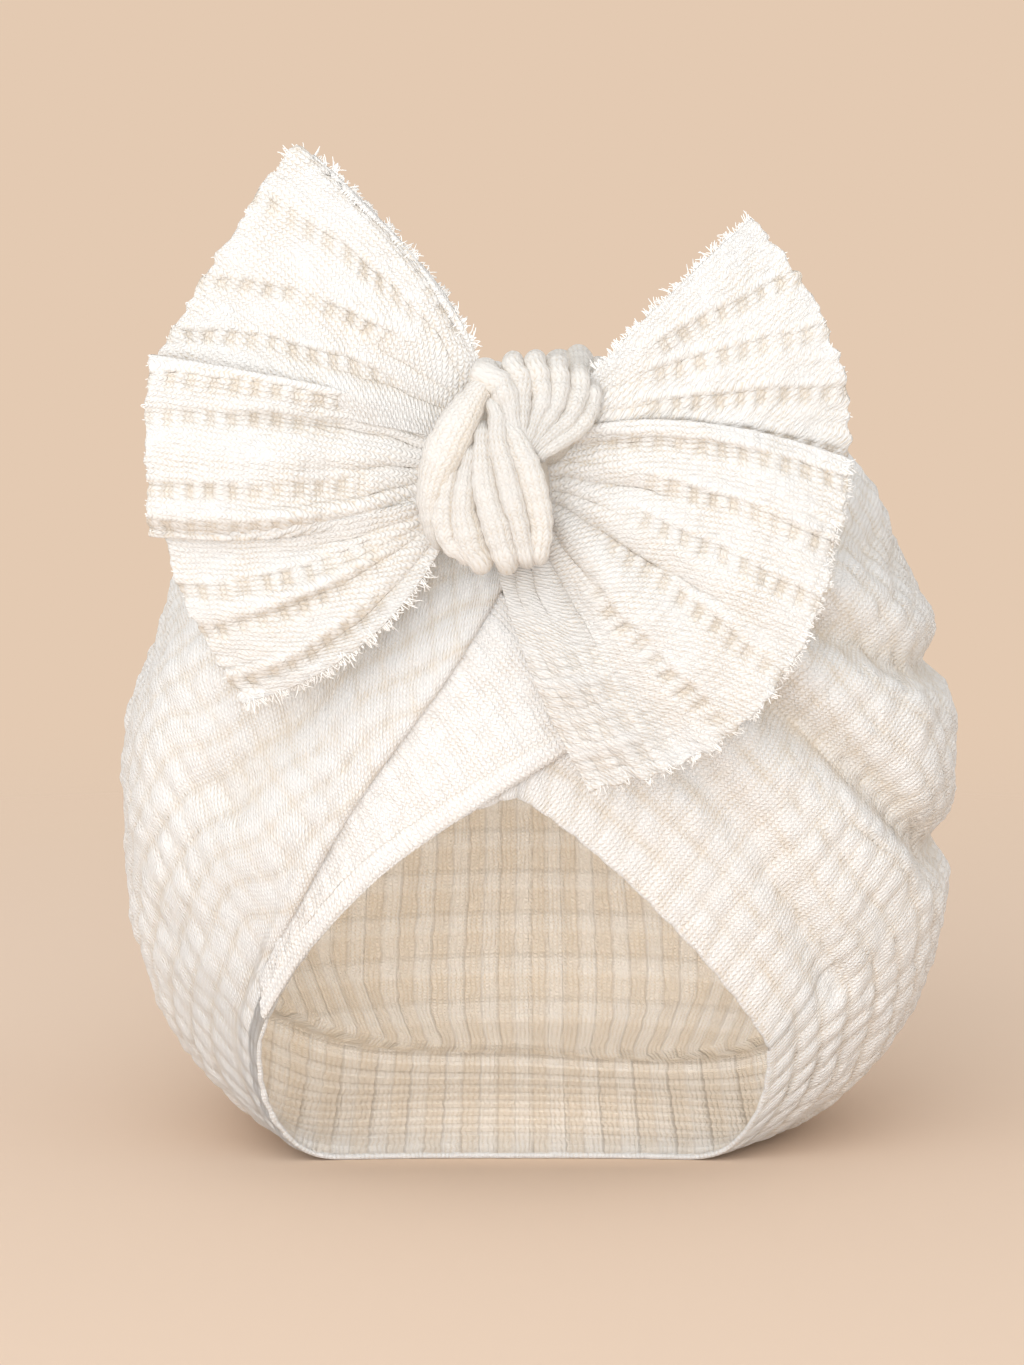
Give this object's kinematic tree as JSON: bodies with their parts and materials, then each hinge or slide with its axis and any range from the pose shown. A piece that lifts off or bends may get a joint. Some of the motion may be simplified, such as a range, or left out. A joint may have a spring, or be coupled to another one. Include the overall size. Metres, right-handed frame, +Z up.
{
  "type": "baby turban hat",
  "caption": "Cream waffle-knit baby turban hat with crossed front panels and a big knotted bow, standing on its nape edge.",
  "frame": {"origin": "on the floor, on the flat of the nape, under the hat's widest section", "axes": "+X to the right as seen from the front, +Y from the opening into the hat, +Z up; the opening and the bow face -Y"},
  "size_m": [0.1523, 0.1642, 0.1806],
  "materials": {
    "waffle_knit": "matt waffle knit",
    "knot_knit": "matt knit, gathered",
    "tail_knit": "matt waffle knit with raw edges"
  },
  "bodies": {
    "root": {"cap": "waffle_knit", "left_hem_band": "waffle_knit", "knot_wrap": "knot_knit", "knot_strap": "knot_knit", "knot_top_fold": "knot_knit", "knot_back_fold": "knot_knit", "left_bow_tail": "tail_knit", "right_bow_tail": "tail_knit"}
  },
  "joints": []
}
